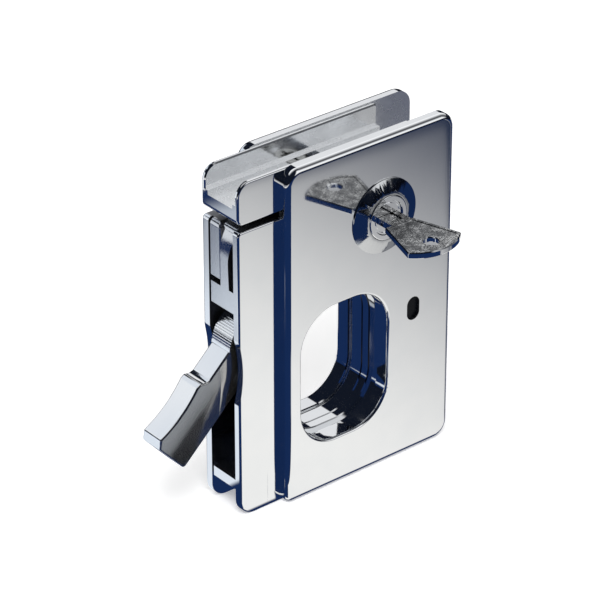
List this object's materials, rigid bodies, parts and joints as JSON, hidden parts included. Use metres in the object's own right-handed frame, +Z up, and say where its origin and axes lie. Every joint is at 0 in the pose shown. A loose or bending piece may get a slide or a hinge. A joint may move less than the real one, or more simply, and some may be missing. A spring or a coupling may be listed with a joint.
{
  "type": "sliding glass door lock",
  "caption": "Notch lock for a sliding glass door: swinging hook bolt, key cylinder, see-through finger pull, glass clamp channel",
  "frame": {"origin": "middle of the lower glass seat, the underside of the seat bar at the foot of the case", "axes": "X from the forend to the glass, Y from the key side to the plain side, Z up"},
  "size_m": [0.0988, 0.0484, 0.1049],
  "materials": {
    "polished_chrome": "mirror polish",
    "plain_steel": "bright steel",
    "key_nickel": "nickel plate, grained faces",
    "brass": "turned brass",
    "black_plastic": "moulded, matte"
  },
  "bodies": {
    "case": {"front_cover": "polished_chrome", "rear_cover": "polished_chrome", "case_front_half": "polished_chrome", "case_rear_half": "polished_chrome", "clamp_nut": "plain_steel", "hook_pivot_pin": "plain_steel", "hook_washers": "plain_steel", "slide_guide_pins": "plain_steel", "cylinder_rosette": "polished_chrome", "cylinder_housing": "polished_chrome", "cylinder_clip": "plain_steel", "window_plug": "black_plastic", "cover_screws": "plain_steel", "case_screws": "plain_steel"},
    "hook": {"hook_bolt": "polished_chrome", "hook_crank_pin": "plain_steel"},
    "slide": {"slide_bar": "plain_steel"},
    "plug": {"cylinder_plug": "polished_chrome", "drive_cam": "plain_steel", "cam_pin": "plain_steel", "cam_screw": "plain_steel", "wafer_springs": "plain_steel"},
    "wafers": {"cylinder_wafers": "brass"},
    "key": {"key": "key_nickel"},
    "channel": {"upper_channel": "polished_chrome", "channel_dowels": "plain_steel"},
    "clamp": {"clamp_screw": "plain_steel"}
  },
  "joints": [
    {"name": "plug_turn", "type": "hinge", "parent": "case", "child": "plug", "pos_m": [0.0181, 0, 0.0725], "axis": [0, 1, 0], "range_deg": [0, 90]},
    {"name": "hook_swing", "type": "hinge", "parent": "case", "child": "hook", "pos_m": [-0.0209, 0, 0.0433], "axis": [0, -1, 0], "range_deg": [0, 48]},
    {"name": "slide_bar_travel", "type": "slide", "parent": "case", "child": "slide", "axis": [-1, 0, 0], "range_m": [0, 0.00693]},
    {"name": "key_withdrawal", "type": "slide", "parent": "plug", "child": "key", "axis": [0, -1, 0], "range_m": [0, 0.016]},
    {"name": "wafer_shift", "type": "slide", "parent": "plug", "child": "wafers", "axis": [1, 0, 0], "range_m": [0, 0.00055]},
    {"name": "channel_adjust", "type": "slide", "parent": "case", "child": "channel", "axis": [0, 0, 1], "range_m": [-0.0017, 0.001]},
    {"name": "clamp_screw_turn", "type": "hinge", "parent": "channel", "child": "clamp", "pos_m": [0.0033, 0, 0.085], "axis": [0, 0, 1], "range_deg": [-766, 451]}
  ],
  "couplings": [
    {"joint": "hook_swing", "follows": "plug_turn", "ratio": 0.53333},
    {"joint": "slide_bar_travel", "follows": "plug_turn", "m_per_rad": 0.0044116},
    {"joint": "wafer_shift", "follows": "key_withdrawal", "ratio": 0.034375},
    {"joint": "clamp_screw_turn", "follows": "channel_adjust", "rad_per_m": 7854}
  ]
}
